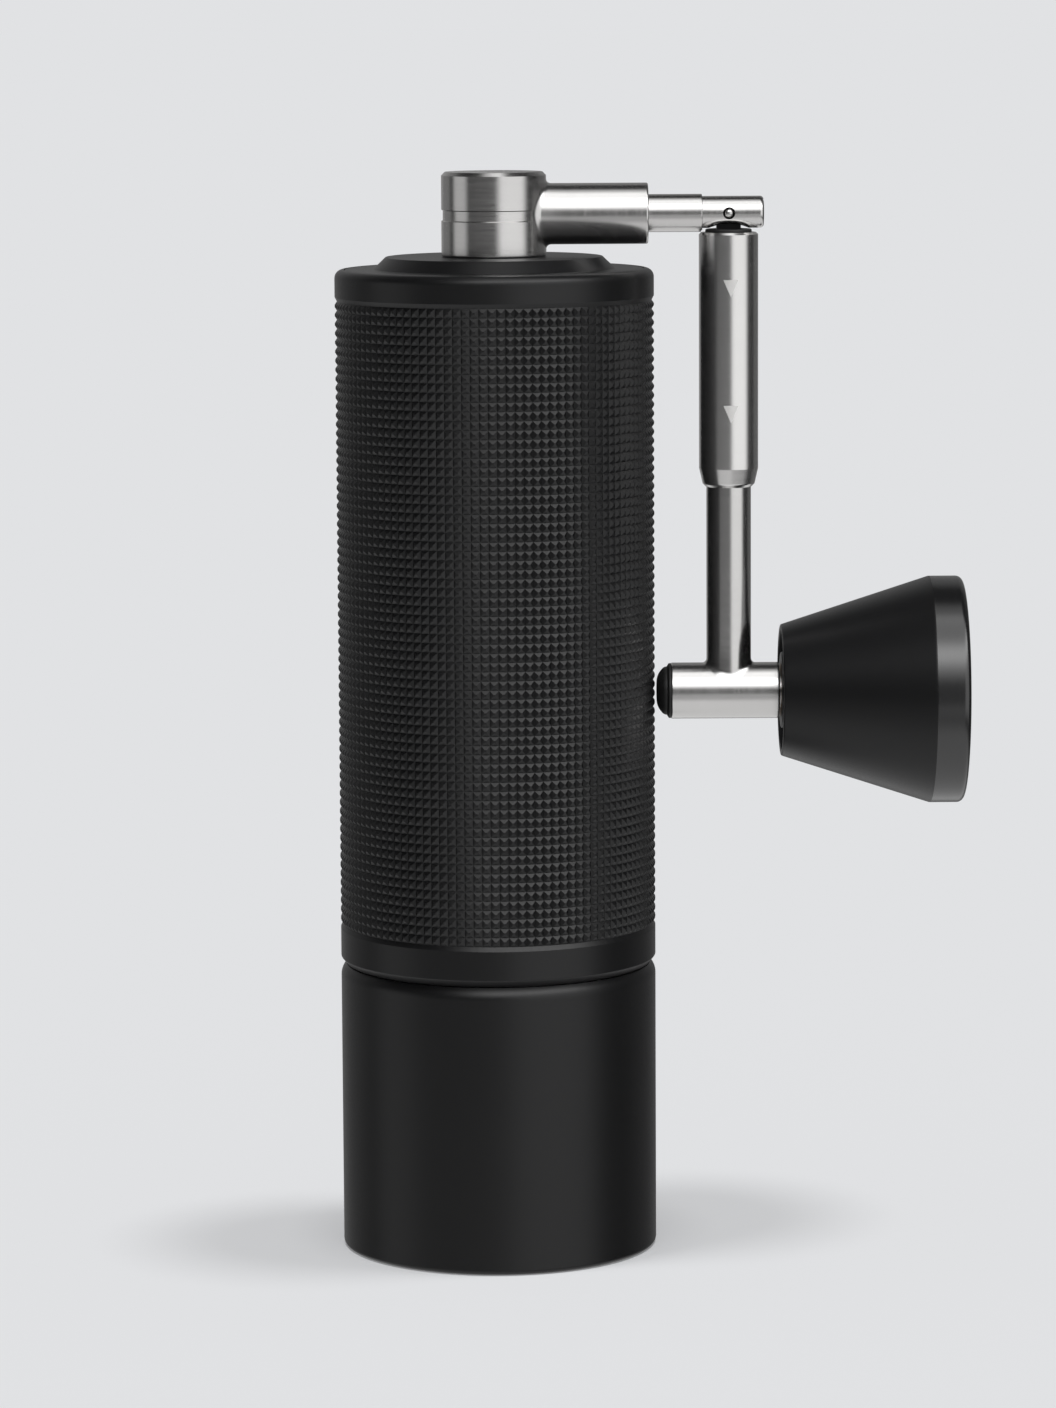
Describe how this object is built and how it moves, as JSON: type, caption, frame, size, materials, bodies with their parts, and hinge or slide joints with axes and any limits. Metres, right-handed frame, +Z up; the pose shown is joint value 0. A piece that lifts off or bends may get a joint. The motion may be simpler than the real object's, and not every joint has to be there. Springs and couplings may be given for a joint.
{
  "type": "hand crank coffee grinder",
  "caption": "Slim cylindrical hand coffee grinder with a knurled shell, screw-off grounds cup, lift-off lid and a folding crank arm with a locking sleeve and cone knob.",
  "frame": {"origin": "centre of the cup's flat base, on the body axis", "axes": "+Z up along the body axis, +X towards the crank arm and the folded handle"},
  "size_m": [0.1046, 0.053, 0.1806],
  "materials": {
    "body_black": "black anodised, satin",
    "crank_steel": "stainless, fine turned",
    "burr_steel": "hardened, ground",
    "bearing_steel": "polished",
    "spring_steel": "drawn wire",
    "knob_black": "matte black",
    "bumper_rubber": "black rubber",
    "seal_silicone": "matte silicone",
    "bush_bronze": "sintered bronze",
    "dial_aluminium": "clear anodised",
    "inner_aluminium": "machined",
    "bridge_plastic": "glass filled, black"
  },
  "bodies": {
    "cup": {"grounds_cup": "body_black"},
    "gasket": {"cup_gasket": "seal_silicone"},
    "shell": {"outer_shell": "body_black", "burr_housing": "inner_aluminium", "ring_burr": "burr_steel", "burr_screws": "burr_steel", "bearing_bridge": "bridge_plastic", "lower_bearing_outer": "bearing_steel", "lower_bearing_balls": "bearing_steel", "upper_bearing_outer": "bearing_steel", "upper_bearing_balls": "bearing_steel"},
    "shaft": {"drive_shaft": "burr_steel", "shaft_circlips": "spring_steel", "spring_washer": "spring_steel", "burr_spring": "spring_steel", "dial_ring": "spring_steel", "lower_bearing_inner": "bearing_steel", "upper_bearing_inner": "bearing_steel"},
    "burr": {"inner_burr": "burr_steel", "click_plate": "burr_steel"},
    "dial": {"adjusting_dial": "dial_aluminium", "click_balls": "bearing_steel"},
    "lid": {"lid_cover": "body_black", "lid_seal": "seal_silicone", "lid_bush": "bush_bronze"},
    "crank": {"crank_hub": "crank_steel", "crank_stub": "crank_steel", "hinge_pin": "crank_steel", "hub_washer": "crank_steel", "hub_circlip": "spring_steel"},
    "handle": {"arm_rod": "crank_steel", "cross_tube": "crank_steel", "bumper": "bumper_rubber", "knob_spindle": "crank_steel", "knob_washer": "crank_steel", "knob_screw": "crank_steel", "sleeve_spring": "spring_steel"},
    "sleeve": {"lock_sleeve": "crank_steel"},
    "knob": {"knob_body": "knob_black", "knob_bushes": "bush_bronze", "knob_cap": "knob_black"}
  },
  "joints": [
    {"name": "cup_rise", "type": "slide", "parent": "cup", "child": "gasket", "axis": [0, 0, 1], "range_m": [0, 0.024]},
    {"name": "cup_unscrew", "type": "hinge", "parent": "gasket", "child": "shell", "pos_m": [0, 0, 0.0482], "axis": [0, 0, 1], "range_deg": [0, 1080]},
    {"name": "shaft_spin", "type": "hinge", "parent": "shell", "child": "shaft", "pos_m": [0, 0, 0.1], "axis": [0, 0, 1], "continuous": true},
    {"name": "burr_slide", "type": "slide", "parent": "shaft", "child": "burr", "axis": [0, 0, 1], "range_m": [-0.002, 0.0005], "deforming": ["burr_spring"]},
    {"name": "dial_turn", "type": "hinge", "parent": "burr", "child": "dial", "pos_m": [0, 0, 0.036], "axis": [0, 0, 1], "range_deg": [-720, 180]},
    {"name": "lid_lift", "type": "slide", "parent": "shell", "child": "lid", "axis": [0, 0, 1], "range_m": [0, 0.03]},
    {"name": "crank_spin", "type": "hinge", "parent": "lid", "child": "crank", "pos_m": [0, 0, 0.1736], "axis": [0, 0, 1], "continuous": true},
    {"name": "handle_fold", "type": "hinge", "parent": "crank", "child": "handle", "pos_m": [0.0389, 0, 0.1736], "axis": [0, -1, 0], "range_deg": [0, 90]},
    {"name": "sleeve_slide", "type": "slide", "parent": "handle", "child": "sleeve", "axis": [0, 0, -1], "range_m": [0, 0.0071], "deforming": ["sleeve_spring"]},
    {"name": "knob_spin", "type": "hinge", "parent": "handle", "child": "knob", "pos_m": [0.06, 0, 0.0938], "axis": [1, 0, 0], "continuous": true}
  ],
  "couplings": [
    {"joint": "cup_unscrew", "follows": "cup_rise", "rad_per_m": 785.39},
    {"joint": "shaft_spin", "follows": "crank_spin", "ratio": 1},
    {"joint": "dial_turn", "follows": "burr_slide", "rad_per_m": 6283},
    {"joint": "sleeve_slide", "follows": "handle_fold", "m_per_rad": 0.0045}
  ]
}
